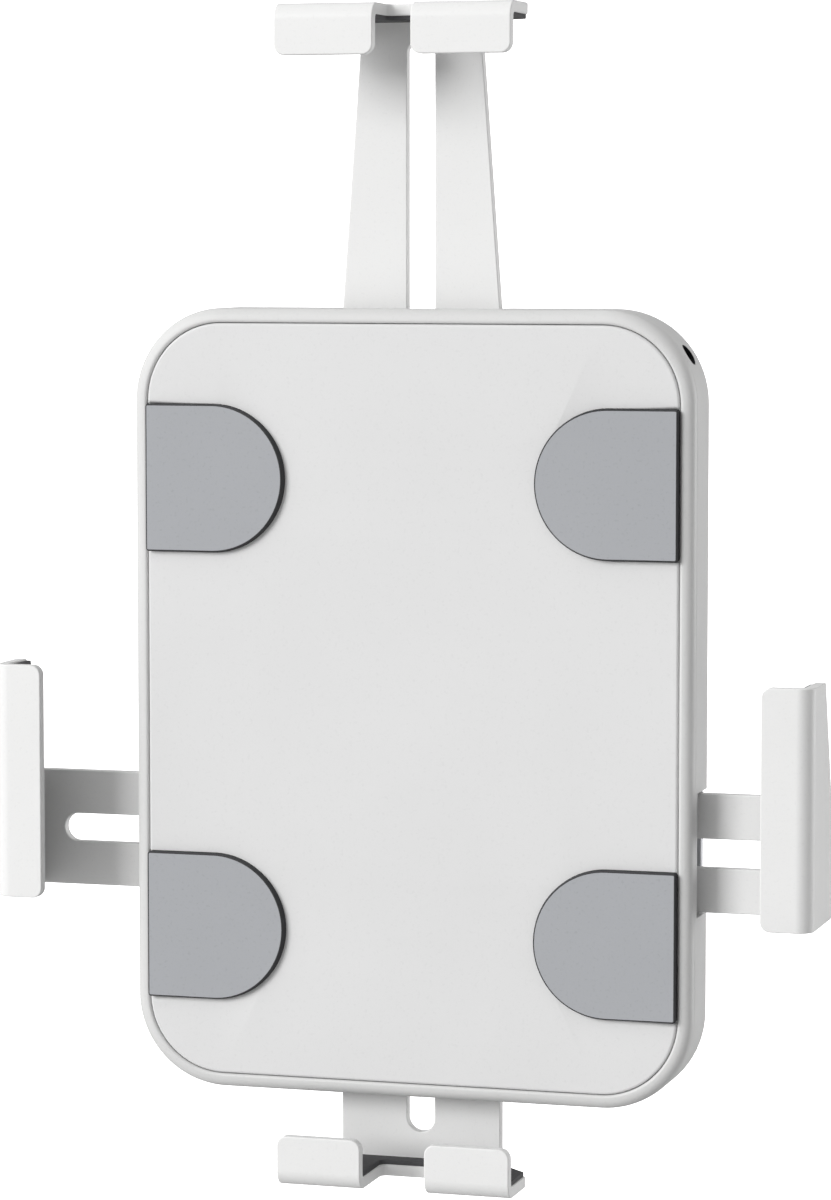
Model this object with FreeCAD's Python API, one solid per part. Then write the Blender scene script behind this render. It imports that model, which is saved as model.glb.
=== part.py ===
import FreeCAD, Part
import math
import os
from collections import namedtuple

# Tablet wall mount: a flat casing on the wall, and four slotted sheet-steel arms that slide out
# of it and end in hooks, which hold a tablet by its edges against four pads.
# Frame: the wall is the plane Y = 0, the front faces -Y, X is to the right and Z is up.
# The origin is the centre of the wall-screw pattern, on the back of the wall plate.
# All lengths are in millimetres.

# How far a cutter runs past the faces it cuts, and how near two positions count as the same
past = 1.0
near = 0.01

# Casing
casing_w = 125.0
casing_h = 170.4
casing_d = 13.8
casing_corner_r = 20.0
wall_t = 2.2
split_d = 2.8
edge_r = 2.4
rim_flat_w = 0.15
rim_inner_r = 0.55
seam_gap = 0.15
panel_t = 1.5
panel_edge_r = 0.6
cover_floor_t = 1.6
skirt_t = 1.2
skirt_d = 1.6
rest_gap = 0.1
slip_gap = 0.15

# Pads on the front panel
pad_h = 32.0
pad_l = 31.2
pad_t = 2.3
pad_proud = 1.6
pad_gap = 0.15
pad_edge_r = 0.35
pad_outer_corner_r = 0.6
pad_top_down = 36.8
pad_bottom_up = 35.7

# Wall plate
plate_t = 2.0
plate_gap = 0.4
tab_inset = 0.8
wall_hole_r = 2.5
wall_holes_w = 75.0
wall_holes_h = 125.0

# Catch lugs of the wall plate, and the nibs of the housing that snap into their windows
lug_in = 26.5
lug_w = 10.0
lug_h = 5.0
lug_window_w = 6.6
lug_window_low = 0.8
lug_window_h = 2.2
lug_relief_w = 1.2
nib_proud = 1.4
nib_flat = 0.6
nib_gap = 0.25

# Lock screw in the upper right corner, square to the corner's round wall
lock_angle = 32.0
lock_y = -5.8
lock_hole_r = 2.4
lock_head_r = 2.2
lock_head_sunk = 2.0
lock_shank_r = 1.95
lock_shank_l = 4.2
lock_socket_w = 2.2
lock_socket_d = 1.1
lock_pin_r = 0.4
lock_ear_w = 9.0
lock_ear_inset = 1.0
lock_ear_h = 7.0

# Screws that join the cover and the housing at the corners
cover_screw_in = 15.5
cover_screw_down = 14.2
cover_screw_r = 1.2
cover_screw_head_r = 2.6
cover_screw_head_h = 1.5
cover_screw_bite = 3.0
corner_tab_w = 21.0
corner_tab_h = 21.2
corner_tab_t = 1.8
boss_r = 3.2
boss_h = 2.5

# Studs, washers and nuts that clamp the arms
stud_r = 2.95
stud_head_r = 4.5
stud_head_t = 1.0
stud_tip = 0.7
stud_chamfer = 0.5
washer_r = 6.0
washer_t = 1.0
nut_w = 10.0
nut_h = 3.4
fit_gap = 0.05

# Sheet-steel arms
sheet_t = 2.5
bend_r = 1.0
glide_gap = 0.1
hook_d = 24.5
lip_h = 11.0
lip_corner_r = 2.2
web_full_d = 10.7
slot_w = 6.2
slot_end_web = 5.0
inner_corner_r = 3.0
notch_corner_r = 1.5
opening_gap = 0.5
opening_d = 9.2
guide_t = 1.6
guide_l = 10.0

# Each arm from the casing's edge: how far its hook stands out, how far it and its studs lie inside,
# and how far short of the hook's outer face its slot ends
side_arm_w = 25.6
side_arm_z = -30.4
side_hook_w = 51.0
side_out = 28.2
side_in = 36.0
side_studs_in = (22.5, 8.5)
side_slot_short = 8.1

tall_arm_w = 36.0
tall_hook_w = 51.8
top_tip_w = 26.4
top_taper_in = 5.2
top_out = 64.4
top_in = 45.2
top_studs_in = (30.7, 11.2)
top_slot_short = 7.0
top_notch_w = 8.3
top_notch_d = 11.8

bottom_out = 18.2
bottom_in = 26.2
bottom_studs_in = (10.7,)
bottom_slot_short = 9.0
bottom_notch_w = 14.3
bottom_notch_d = 16.6

# Rubber liners inside the hooks
liner_t = 1.0
liner_margin = 0.4

# Planes and outlines that follow from these sizes
panel_front_y = -casing_d
recess_y = panel_front_y + panel_t + rest_gap
split_y = panel_front_y + split_d
floor_y = recess_y + cover_floor_t
opening_y = -opening_d
plate_front_y = -plate_t
arm_back_y = plate_front_y - glide_gap
arm_front_y = arm_back_y - sheet_t
web_start_y = arm_front_y - bend_r
web_full_y = arm_back_y - web_full_d
lip_front_y = arm_back_y - hook_d
tab_front_y = floor_y + boss_h
tab_back_y = tab_front_y + corner_tab_t
side_edge = casing_w / 2
tall_edge = casing_h / 2
corner_x = side_edge - casing_corner_r
corner_z = tall_edge - casing_corner_r
rim_w = edge_r + rim_flat_w + rim_inner_r
panel_inset = rim_w + seam_gap
panel_edge_x = side_edge - panel_inset
plate_inset = wall_t + plate_gap
side_reach = side_edge + side_out
top_reach = tall_edge + top_out
bottom_reach = tall_edge + bottom_out
pad_front_y = panel_front_y - pad_proud
pocket_y = pad_front_y + pad_t

# Side and height of each pad
pads = {
    "pad_top_left": (-1, tall_edge - pad_top_down), "pad_top_right": (1, tall_edge - pad_top_down),
    "pad_bottom_left": (-1, pad_bottom_up - tall_edge), "pad_bottom_right": (1, pad_bottom_up - tall_edge),
}

# An arm, described as if it pointed up: how far its hook and its inner end lie from the casing's
# centre, its width at the casing and at the hook, the hook's two sides, the slot's outer end, the
# studs, the width and depth of the notch between the lips (0 for none), and the turn and shift that
# put it in its place.
Arm = namedtuple("Arm", "reach inner width tip_width taper_start left right slot_end studs "
                        "notch notch_d turn z")
side_hook_long = side_hook_w - side_arm_w / 2
side_hook_short = side_arm_w / 2
side_studs = [side_edge - depth for depth in side_studs_in]
top_studs = [tall_edge - depth for depth in top_studs_in]
bottom_studs = [tall_edge - depth for depth in bottom_studs_in]
arms = {
    "top": Arm(top_reach, tall_edge - top_in, tall_arm_w, top_tip_w, tall_edge - top_taper_in,
               -tall_hook_w / 2, tall_hook_w / 2, top_reach - top_slot_short, top_studs,
               top_notch_w, top_notch_d, 0, 0),
    "bottom": Arm(bottom_reach, tall_edge - bottom_in, tall_arm_w, tall_arm_w, tall_edge,
                  -tall_hook_w / 2, tall_hook_w / 2, bottom_reach - bottom_slot_short, bottom_studs,
                  bottom_notch_w, bottom_notch_d, 180, 0),
    "left": Arm(side_reach, side_edge - side_in, side_arm_w, side_arm_w, side_edge,
                -side_hook_short, side_hook_long, side_reach - side_slot_short, side_studs,
                0, 0, -90, side_arm_z),
    "right": Arm(side_reach, side_edge - side_in, side_arm_w, side_arm_w, side_edge,
                 -side_hook_long, side_hook_short, side_reach - side_slot_short, side_studs,
                 0, 0, 90, side_arm_z),
}


def rounded_face(corners, radii, place):
    """Face of a polygon with rounded corners; place turns a flat point into a point in space."""
    count = len(corners)
    arcs = []
    for i, radius in enumerate(radii):
        before, here, after = (FreeCAD.Vector(*corners[j % count], 0) for j in (i - 1, i, i + 1))
        to_before = (before - here).normalize()
        to_after = (after - here).normalize()
        half = to_before.getAngle(to_after) / 2
        inward = (to_before + to_after).normalize() if radius else FreeCAD.Vector()
        reach = radius / math.tan(half) if radius else 0
        middle = here + inward * (radius / math.sin(half) - radius if radius else 0)
        arcs.append([place(p.x, p.y) for p in (here + to_before * reach, middle, here + to_after * reach)])
    edges = []
    for i, (start, middle, end) in enumerate(arcs):
        if radii[i]:
            edges.append(Part.Arc(start, middle, end).toShape())
        following = arcs[(i + 1) % count][0]
        if end.distanceToPoint(following) > 1e-6:
            edges.append(Part.LineSegment(end, following).toShape())
    return Part.Face(Part.Wire(edges))


def front_prism(corners, radii, y_front, y_back):
    """Solid with an outline in the front view, between two depths."""
    face = rounded_face(corners, radii, lambda x, z: FreeCAD.Vector(x, y_front, z))
    return face.extrude(FreeCAD.Vector(0, y_back - y_front, 0))


def plan_prism(corners, radii, z_low, z_high):
    """Solid with an outline in the top view, between two heights."""
    face = rounded_face(corners, radii, lambda x, y: FreeCAD.Vector(x, y, z_low))
    return face.extrude(FreeCAD.Vector(0, 0, z_high - z_low))


def side_prism(corners, radii, x_low, x_high):
    """Solid with an outline of (Y, Z) points in the side view, between two X values."""
    face = rounded_face(corners, radii, lambda y, z: FreeCAD.Vector(x_low, y, z))
    return face.extrude(FreeCAD.Vector(x_high - x_low, 0, 0))


def block(x, y, z):
    """Box between pairs of X, Y and Z values."""
    size = [high - low for low, high in (x, y, z)]
    return Part.makeBox(*size, FreeCAD.Vector(x[0], y[0], z[0]))


def rect(left, right, low, high):
    """Corners of a rectangle."""
    return [(left, low), (right, low), (right, high), (left, high)]


def round_rod(radius, x, z, y_front, y_back):
    """Cylinder along Y."""
    return Part.makeCylinder(radius, y_back - y_front, FreeCAD.Vector(x, y_front, z), FreeCAD.Vector(0, 1, 0))


def casing_prism(inset, y_front, y_back):
    """Solid with the casing's outline drawn in by an inset."""
    x, z, r = side_edge - inset, tall_edge - inset, casing_corner_r - inset
    return front_prism(rect(-x, x, -z, z), [r] * 4, y_front, y_back)


def edges_at(shape, test):
    """Edges all of whose vertices pass a test."""
    return [edge for edge in shape.Edges if all(test(vertex.Point) for vertex in edge.Vertexes)]


def arm_edge(arm):
    """Distance from the centre to the casing's edge that an arm comes out of."""
    return side_edge if arm.turn % 180 else tall_edge


def set_arm_in_place(shape, arm):
    """Turn a shape that belongs to an upward arm to that arm's own side of the casing."""
    shape.rotate(FreeCAD.Vector(), FreeCAD.Vector(0, 1, 0), arm.turn)
    shape.translate(FreeCAD.Vector(0, 0, arm.z))
    return shape


def notch_cutter(arm, margin=0.0):
    """Space between the two lips of a hook, open to the front."""
    half = arm.notch / 2 + margin
    back = lip_front_y + arm.notch_d + margin
    corners = rect(-half, half, lip_front_y - past, back)
    radii = [0, 0, notch_corner_r, notch_corner_r]
    return plan_prism(corners, radii, arm.reach - lip_h - past, arm.reach + past)


def flare_cutters(arm, margin=0.0):
    """Corners cut from the web, so that it widens from the arm to the hook's full width."""
    cutters = []
    half = arm.tip_width / 2 - margin
    for side, extent in ((-1, -arm.left), (1, arm.right)):
        flare = extent - margin - half
        if flare > near:
            corners = [(half, web_start_y), (extent + past, web_start_y), (extent + past, web_full_y),
                       (extent - margin, web_full_y)]
            flat = [(side * x, y) for x, y in corners]
            cutters.append(plan_prism(flat, [0] * 4, arm.reach - lip_h, arm.reach + past))
    return cutters


def arm_outline(arm):
    """Front view of an upward arm: parallel inside the casing, tapered to the hook where it narrows."""
    wide, tip = arm.width / 2, arm.tip_width / 2
    corners = [(-wide, arm.inner), (wide, arm.inner)]
    radii = [inner_corner_r, inner_corner_r]
    if tip < wide:
        corners += [(wide, arm.taper_start), (tip, arm.reach - sheet_t), (tip, arm.reach),
                    (-tip, arm.reach), (-tip, arm.reach - sheet_t), (-wide, arm.taper_start)]
        radii += [0] * 6
    else:
        corners += [(wide, arm.reach), (-wide, arm.reach)]
        radii += [0, 0]
    return corners, radii


def arm_slot(arm):
    """Long slot of an arm, with round ends."""
    corners = rect(-slot_w / 2, slot_w / 2, arm.inner + slot_end_web, arm.slot_end)
    return front_prism(corners, [slot_w / 2] * 4, web_start_y, 0)


def make_arm(arm):
    """One arm: a single sheet bent twice, into a web and one or two lips."""
    outer_r = bend_r + sheet_t
    section = [(arm_back_y, arm.inner), (arm_back_y, arm.reach), (lip_front_y, arm.reach),
               (lip_front_y, arm.reach - lip_h), (lip_front_y + sheet_t, arm.reach - lip_h),
               (lip_front_y + sheet_t, arm.reach - sheet_t), (arm_front_y, arm.reach - sheet_t),
               (arm_front_y, arm.inner)]
    sheet = side_prism(section, [0, outer_r, outer_r, 0, 0, bend_r, bend_r, 0], arm.left, arm.right)
    corners, radii = arm_outline(arm)
    beside = block((arm.left - past, arm.right + past), (web_start_y, 0),
                   (arm.inner - past, arm.reach + past))
    beside = beside.cut(front_prism(corners, radii, web_start_y, 0))
    sheet = sheet.cut([beside, arm_slot(arm)] + flare_cutters(arm))
    if arm.notch:
        sheet = sheet.cut(notch_cutter(arm))
    lip_end = arm.reach - lip_h
    corner_edges = [edge for edge in edges_at(sheet, lambda p: abs(p.z - lip_end) < near)
                    if abs(edge.Vertexes[0].X - edge.Vertexes[-1].X) < near]
    sheet = sheet.makeFillet(lip_corner_r, corner_edges)
    return set_arm_in_place(sheet.removeSplitter(), arm)


def make_liner(arm):
    """Rubber strip on the inner face of a hook's web."""
    front = lip_front_y + sheet_t + bend_r
    corners = rect(arm.left + liner_margin, arm.right - liner_margin, front, web_start_y)
    inner_face = arm.reach - sheet_t
    strip = plan_prism(corners, [0] * 4, inner_face - liner_t, inner_face)
    cutters = flare_cutters(arm, liner_margin)
    if arm.notch:
        cutters.append(notch_cutter(arm, liner_margin))
    if cutters:
        strip = strip.cut(cutters)
    return set_arm_in_place(strip, arm)


def at_studs(make):
    """Copies of a round piece at every stud of every arm, as separate solids."""
    pieces = []
    for arm in arms.values():
        for distance in arm.studs:
            piece = make()
            piece.translate(FreeCAD.Vector(0, 0, distance))
            pieces.append(set_arm_in_place(piece, arm))
    return Part.makeCompound(pieces)


def make_stud():
    """Flush-head stud, pressed into the wall plate from behind."""
    tip_y = arm_front_y - rest_gap - washer_t - nut_h - stud_tip
    shank = round_rod(stud_r, 0, 0, tip_y, -stud_head_t)
    shank = shank.makeChamfer(stud_chamfer, edges_at(shank, lambda p: p.y < tip_y + near))
    return shank.fuse(round_rod(stud_head_r, 0, 0, -stud_head_t, 0)).removeSplitter()


def stud_hole():
    """Hole in the wall plate for a stud and its head."""
    shank = round_rod(stud_r + fit_gap, 0, 0, plate_front_y - past, 0)
    return shank.fuse(round_rod(stud_head_r + fit_gap, 0, 0, -stud_head_t, past))


def make_washer():
    """Washer that lies on an arm."""
    back = arm_front_y - rest_gap
    ring = round_rod(washer_r, 0, 0, back - washer_t, back)
    return ring.cut(round_rod(stud_r + 2 * fit_gap, 0, 0, back - washer_t - past, back + past))


def hexagon_prism(across, y_front, y_back):
    """Six-sided bar along Y."""
    radius = across / math.sqrt(3)
    corners = [(radius * math.cos(math.radians(60 * k)), radius * math.sin(math.radians(60 * k)))
               for k in range(6)]
    return front_prism(corners, [0] * 6, y_front, y_back)


def make_nut():
    """Hexagon nut with a turned front face."""
    back = arm_front_y - rest_gap - washer_t
    front = back - nut_h
    corner_r = nut_w / math.sqrt(3)
    chamfer = corner_r - nut_w / 2
    turned = round_rod(corner_r, 0, 0, front, back)
    turned = turned.makeChamfer(chamfer, edges_at(turned, lambda p: p.y < front + near))
    body = hexagon_prism(nut_w, front, back).common(turned)
    return body.cut(round_rod(stud_r + fit_gap, 0, 0, front - past, back + past))


def lock_direction():
    """Direction of the lock screw, out of the corner."""
    angle = math.radians(lock_angle)
    return FreeCAD.Vector(math.cos(angle), 0, math.sin(angle))


def lock_rod(radius, start, end):
    """Cylinder on the lock screw's axis, between two distances from the corner's centre."""
    centre = FreeCAD.Vector(corner_x, lock_y, corner_z)
    return Part.makeCylinder(radius, end - start, centre + lock_direction() * start, lock_direction())


def lock_ear_face():
    """Distance from the corner's centre to the outer face of the lock ear."""
    return casing_corner_r - plate_inset - lock_ear_inset


def lock_ear_block(margin, low_y):
    """Flat ear square to the lock screw, with a margin all round."""
    outer = lock_ear_face() + margin
    inner = lock_ear_face() - plate_t - margin
    half = lock_ear_w / 2 + margin
    ear = block((inner, outer), (plate_front_y - lock_ear_h - margin, low_y), (-half, half))
    ear.rotate(FreeCAD.Vector(), FreeCAD.Vector(0, 1, 0), -lock_angle)
    ear.translate(FreeCAD.Vector(corner_x, 0, corner_z))
    return ear


def make_lock_screw():
    """Sunk security screw with a six-sided socket and a centre pin."""
    seat = lock_ear_face()
    top = casing_corner_r - lock_head_sunk
    screw = lock_rod(lock_head_r, seat, top).fuse(lock_rod(lock_shank_r, seat - lock_shank_l, seat))
    socket = hexagon_prism(lock_socket_w, top - lock_socket_d, top + past)
    socket.rotate(FreeCAD.Vector(), FreeCAD.Vector(0, 0, 1), -90)
    socket.rotate(FreeCAD.Vector(), FreeCAD.Vector(0, 1, 0), -lock_angle)
    socket.translate(FreeCAD.Vector(corner_x, lock_y, corner_z))
    pin = lock_rod(lock_pin_r, top - lock_socket_d, top)
    return screw.cut(socket).fuse(pin).removeSplitter()


def lug_places():
    """X of each catch lug and the side it stands on: two at the bottom and one at the top left."""
    x = side_edge - lug_in
    return [(-x, -1), (x, -1), (-x, 1)]


def make_wall_plate():
    """Steel plate on the wall, with lugs bent forward from its edges and a tab in each opening."""
    plate = casing_prism(plate_inset, plate_front_y, 0)
    edge_z = tall_edge - plate_inset
    for arm in arms.values():
        edge = arm_edge(arm)
        tab = block((-arm.width / 2, arm.width / 2), (plate_front_y, 0),
                    (edge - plate_inset - past, edge - tab_inset))
        plate = plate.fuse(set_arm_in_place(tab, arm))
    for x, side in lug_places():
        low, high = sorted((side * edge_z, side * (edge_z - plate_t)))
        lug = block((x - lug_w / 2, x + lug_w / 2), (plate_front_y - lug_h, 0), (low, high))
        plate = plate.fuse(lug)
        window_back = plate_front_y - lug_window_low
        window = block((x - lug_window_w / 2, x + lug_window_w / 2),
                       (window_back - lug_window_h, window_back), (low - past, high + past))
        plate = plate.cut(window)
        low, high = sorted((side * (edge_z - plate_t - bend_r), side * (edge_z + past)))
        for edge_x in (x - lug_w / 2 - lug_relief_w, x + lug_w / 2):
            relief = block((edge_x, edge_x + lug_relief_w), (plate_front_y - past, past), (low, high))
            plate = plate.cut(relief)
    plate = plate.removeSplitter()
    bends = edges_at(plate, lambda p: abs(p.y) < near and abs(abs(p.z) - edge_z) < near)
    plate = plate.makeFillet(plate_t - rest_gap, [edge for edge in bends if abs(edge.Length - lug_w) < near])
    plate = plate.fuse(lock_ear_block(0, 0)).removeSplitter()
    holes = [round_rod(wall_hole_r, sx * wall_holes_w / 2, sz * wall_holes_h / 2, plate_front_y - past, past)
             for sx in (-1, 1) for sz in (-1, 1)]
    ear_face = lock_ear_face()
    lock_hole = lock_rod(lock_shank_r + fit_gap, ear_face - plate_t - past, ear_face + past)
    return plate.cut(holes + at_studs(stud_hole).Solids + [lock_hole])


def cover_screw_place(sx, sz):
    """X and Z of the cover screw in one corner."""
    return sx * (side_edge - cover_screw_in), sz * (tall_edge - cover_screw_down)


def corner_tab(sx, sz):
    """Plate across one inner corner of the housing, which carries a cover screw."""
    tab = casing_prism(wall_t / 2, tab_front_y, tab_back_y)
    x = sorted((sx * (side_edge - corner_tab_w), sx * casing_w))
    z = sorted((sz * (tall_edge - corner_tab_h), sz * casing_h))
    tab = tab.common(block(x, (tab_front_y, tab_back_y), z))
    screw_x, screw_z = cover_screw_place(sx, sz)
    return tab.cut(round_rod(cover_screw_r + slip_gap, screw_x, screw_z,
                             tab_front_y - past, tab_back_y + past))


def guide_ribs(arm):
    """Two ribs beside an opening, which keep the arm straight."""
    edge = arm_edge(arm) - wall_t / 2
    start = arm.width / 2 + opening_gap
    ribs = []
    for side in (-1, 1):
        x = sorted((side * start, side * (start + guide_t)))
        ribs.append(set_arm_in_place(
            block(x, (opening_y, plate_front_y - rest_gap), (edge - wall_t / 2 - guide_l, edge)), arm))
    return ribs


def catch_nib(x, side):
    """Nib on the housing's inner wall, ramped on its wall side, that snaps into a lug's window."""
    wall = tall_edge - wall_t
    back = plate_front_y - lug_window_low - nib_gap
    front = plate_front_y - lug_window_low - lug_window_h + nib_gap
    corners = [(back, wall + wall_t / 2), (back, wall), (front + nib_flat, wall - nib_proud),
               (front, wall - nib_proud), (front, wall + wall_t / 2)]
    half = lug_window_w / 2 - nib_gap
    return side_prism([(y, side * z) for y, z in corners], [0] * 5, x - half, x + half)


def make_rear_housing():
    """Moulded side band with its openings, guide ribs, corner tabs and catch nibs."""
    band = casing_prism(0, split_y, 0).cut(casing_prism(wall_t, split_y - past, past))
    for arm in arms.values():
        edge = arm_edge(arm)
        half = arm.width / 2 + opening_gap
        opening = block((-half, half), (opening_y, past), (edge - wall_t - past, edge + past))
        band = band.cut(set_arm_in_place(opening, arm))
    for arm in arms.values():
        band = band.fuse(guide_ribs(arm))
    band = band.fuse([corner_tab(sx, sz) for sx in (-1, 1) for sz in (-1, 1)])
    band = band.fuse([catch_nib(x, side) for x, side in lug_places()])
    lock_path = lock_rod(lock_hole_r, lock_ear_face() - plate_t - lock_shank_l, casing_corner_r + past)
    return band.cut([lock_path, lock_ear_block(plate_gap - rest_gap, past)]).removeSplitter()


def at_recess_edge(p):
    """Whether a point lies on the front edge of the recess that the rim encloses."""
    inside = abs(p.x) < side_edge - rim_w + near and abs(p.z) < tall_edge - rim_w + near
    return inside and abs(p.y - panel_front_y) < near


def make_front_cover():
    """Moulded front: rounded rim, recess floor, locating skirt and four screw bosses."""
    rim = casing_prism(0, panel_front_y, split_y)
    rim = rim.makeFillet(edge_r, edges_at(rim, lambda p: p.y < panel_front_y + near))
    rim = rim.cut(casing_prism(rim_w, panel_front_y - past, recess_y))
    rim = rim.makeFillet(rim_inner_r, edges_at(rim, at_recess_edge))
    inner = wall_t + slip_gap
    floor = casing_prism(inner, recess_y, floor_y)
    skirt = casing_prism(inner, recess_y, split_y + skirt_d)
    skirt = skirt.cut(casing_prism(inner + skirt_t, floor_y, split_y + skirt_d + past))
    cover = rim.fuse([floor, skirt])
    for sx in (-1, 1):
        for sz in (-1, 1):
            x, z = cover_screw_place(sx, sz)
            boss = round_rod(boss_r, x, z, floor_y - cover_floor_t / 2, tab_front_y)
            bore = round_rod(cover_screw_r + fit_gap, x, z, tab_front_y - cover_screw_bite - rest_gap,
                             tab_front_y + past)
            cover = cover.fuse(boss).cut(bore)
    return cover.removeSplitter()


def make_cover_screws():
    """Four screws, through the housing's corner tabs into the cover's bosses."""
    screws = []
    for sx in (-1, 1):
        for sz in (-1, 1):
            x, z = cover_screw_place(sx, sz)
            shank = round_rod(cover_screw_r, x, z, tab_front_y - cover_screw_bite, tab_back_y)
            head = round_rod(cover_screw_head_r, x, z, tab_back_y, tab_back_y + cover_screw_head_h)
            rim_edges = edges_at(head, lambda p: p.y > tab_back_y + cover_screw_head_h - near)
            head = head.makeFillet(cover_screw_head_h / 2, rim_edges)
            screws.append(shank.fuse(head).removeSplitter())
    return Part.makeCompound(screws)


def pad_prism(side, z, margin, overrun, y_front, y_back):
    """D-shaped solid with its round end inwards and its straight side at the panel's edge or past it."""
    inner = panel_edge_x - pad_l - margin
    outer = panel_edge_x + overrun
    half = pad_h / 2 + margin
    outer_r = 0 if overrun else pad_outer_corner_r
    corners = [(side * x, z + dz) for x, dz in rect(inner, outer, -half, half)]
    return front_prism(corners, [half, outer_r, outer_r, half], y_front, y_back)


def make_pad(side, z):
    """One rubber pad, seated in its pocket."""
    pad = pad_prism(side, z, 0, 0, pad_front_y, pocket_y)
    return pad.makeFillet(pad_edge_r, edges_at(pad, lambda p: p.y < pad_front_y + near))


def make_front_panel():
    """Inset plate with a pocket for each pad."""
    panel = casing_prism(panel_inset, panel_front_y, panel_front_y + panel_t)
    panel = panel.makeFillet(panel_edge_r, edges_at(panel, lambda p: p.y < panel_front_y + near))
    pockets = [pad_prism(side, z, pad_gap, past, panel_front_y - past, pocket_y)
               for side, z in pads.values()]
    return panel.cut(pockets)


def main():
    """Make every piece and write one STEP file for each."""
    pieces = {
        "wall_plate": make_wall_plate(),
        "rear_housing": make_rear_housing(),
        "front_cover": make_front_cover(),
        "front_panel": make_front_panel(),
        "arm_studs": at_studs(make_stud),
        "arm_washers": at_studs(make_washer),
        "arm_nuts": at_studs(make_nut),
        "cover_screws": make_cover_screws(),
        "lock_screw": make_lock_screw(),
    }
    for name, (side, z) in pads.items():
        pieces[name] = make_pad(side, z)
    for name, arm in arms.items():
        pieces[name + "_arm"] = make_arm(arm)
        pieces[name + "_hook_liner"] = make_liner(arm)
    os.makedirs("parts", exist_ok=True)
    for name, shape in pieces.items():
        shape.exportStep(f"parts/{name}.step")
        box = shape.BoundBox
        print(f"{name}: {len(shape.Solids)} solids, {shape.Volume:.1f} mm3, valid {shape.isValid()}, "
              f"X {box.XMin:.1f} {box.XMax:.1f}, Y {box.YMin:.1f} {box.YMax:.1f}, "
              f"Z {box.ZMin:.1f} {box.ZMax:.1f}")


main()
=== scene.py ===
import logging
import math
from collections.abc import Iterable, Sequence
from dataclasses import dataclass, field
from enum import Enum
from typing import NamedTuple

import bmesh
import bpy
from mathutils import Matrix, Vector


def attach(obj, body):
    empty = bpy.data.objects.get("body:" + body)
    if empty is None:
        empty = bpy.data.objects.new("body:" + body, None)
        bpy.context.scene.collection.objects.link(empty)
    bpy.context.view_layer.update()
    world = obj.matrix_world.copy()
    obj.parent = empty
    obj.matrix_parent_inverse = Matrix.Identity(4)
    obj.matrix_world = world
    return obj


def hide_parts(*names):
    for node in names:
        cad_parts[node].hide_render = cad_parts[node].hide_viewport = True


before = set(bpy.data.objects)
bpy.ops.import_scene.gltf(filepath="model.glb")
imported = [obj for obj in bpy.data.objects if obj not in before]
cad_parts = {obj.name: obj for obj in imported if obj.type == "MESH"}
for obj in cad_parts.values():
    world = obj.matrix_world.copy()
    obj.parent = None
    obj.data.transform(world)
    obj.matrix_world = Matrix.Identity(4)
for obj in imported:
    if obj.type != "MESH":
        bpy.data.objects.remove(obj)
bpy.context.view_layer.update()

log = logging.getLogger("tablet_wall_mount")

# Shapes are built in millimetres: u to the right, v up and w out of the wall, towards the viewer.
MM = 0.001
SAME_POINT = 0.001
SHARP_ANGLE = math.radians(50)
OUT_OF_WALL = Matrix(((1, 0, 0, 0), (0, 0, -1, 0), (0, 1, 0, 0), (0, 0, 0, 1)))

Colour = tuple[float, float, float]


# Finishes


class Slot(Enum):
    """Material slots of the record, one listed with each finish."""

    COATED_STEEL = "coated_steel"
    COVER_PLASTIC = "cover_plastic"
    PANEL_PLASTIC = "panel_plastic"
    PAD_RUBBER = "pad_rubber"
    LINER_RUBBER = "liner_rubber"
    ZINC_STEEL = "zinc_steel"


def new_group(name: str, inputs: dict[str, float], outputs: Sequence[str]) -> bpy.types.NodeTree:
    """Starts a shader node group that reads a position.

    Args:
        name: Name of the group.
        inputs: Number inputs with their defaults, after the position.
        outputs: Names of the number outputs.

    Returns:
        The empty group with its sockets.
    """
    group = bpy.data.node_groups.new(name, "ShaderNodeTree")
    group.interface.new_socket("Position", in_out="INPUT", socket_type="NodeSocketVector")
    for label, value in inputs.items():
        socket = group.interface.new_socket(label, in_out="INPUT", socket_type="NodeSocketFloat")
        socket.default_value = value
    for label in outputs:
        group.interface.new_socket(label, in_out="OUTPUT", socket_type="NodeSocketFloat")
    return group


def surface_grain() -> bpy.types.NodeTree:
    """Group for the fine relief of a coat or mould: long swells with a sharper grain on top.

    Returns:
        The group, with Swell Scale, Grain Scale and Grain Share in and Height out.
    """
    if "surface_grain" in bpy.data.node_groups:
        return bpy.data.node_groups["surface_grain"]
    inputs = {"Swell Scale": 700.0, "Grain Scale": 4000.0, "Grain Share": 0.4}
    group = new_group("surface_grain", inputs, ["Height"])
    nodes, links = group.nodes, group.links
    source = nodes.new("NodeGroupInput")
    result = nodes.new("NodeGroupOutput")
    swell = nodes.new("ShaderNodeTexNoise")
    swell.inputs["Detail"].default_value = 1.0
    grain = nodes.new("ShaderNodeTexNoise")
    grain.inputs["Detail"].default_value = 3.0
    grain.inputs["Roughness"].default_value = 0.65
    blend = nodes.new("ShaderNodeMix")
    links.new(source.outputs["Position"], swell.inputs["Vector"])
    links.new(source.outputs["Position"], grain.inputs["Vector"])
    links.new(source.outputs["Swell Scale"], swell.inputs["Scale"])
    links.new(source.outputs["Grain Scale"], grain.inputs["Scale"])
    links.new(source.outputs["Grain Share"], blend.inputs["Factor"])
    links.new(swell.outputs["Fac"], blend.inputs["A"])
    links.new(grain.outputs["Fac"], blend.inputs["B"])
    links.new(blend.outputs["Result"], result.inputs["Height"])
    return group


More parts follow.
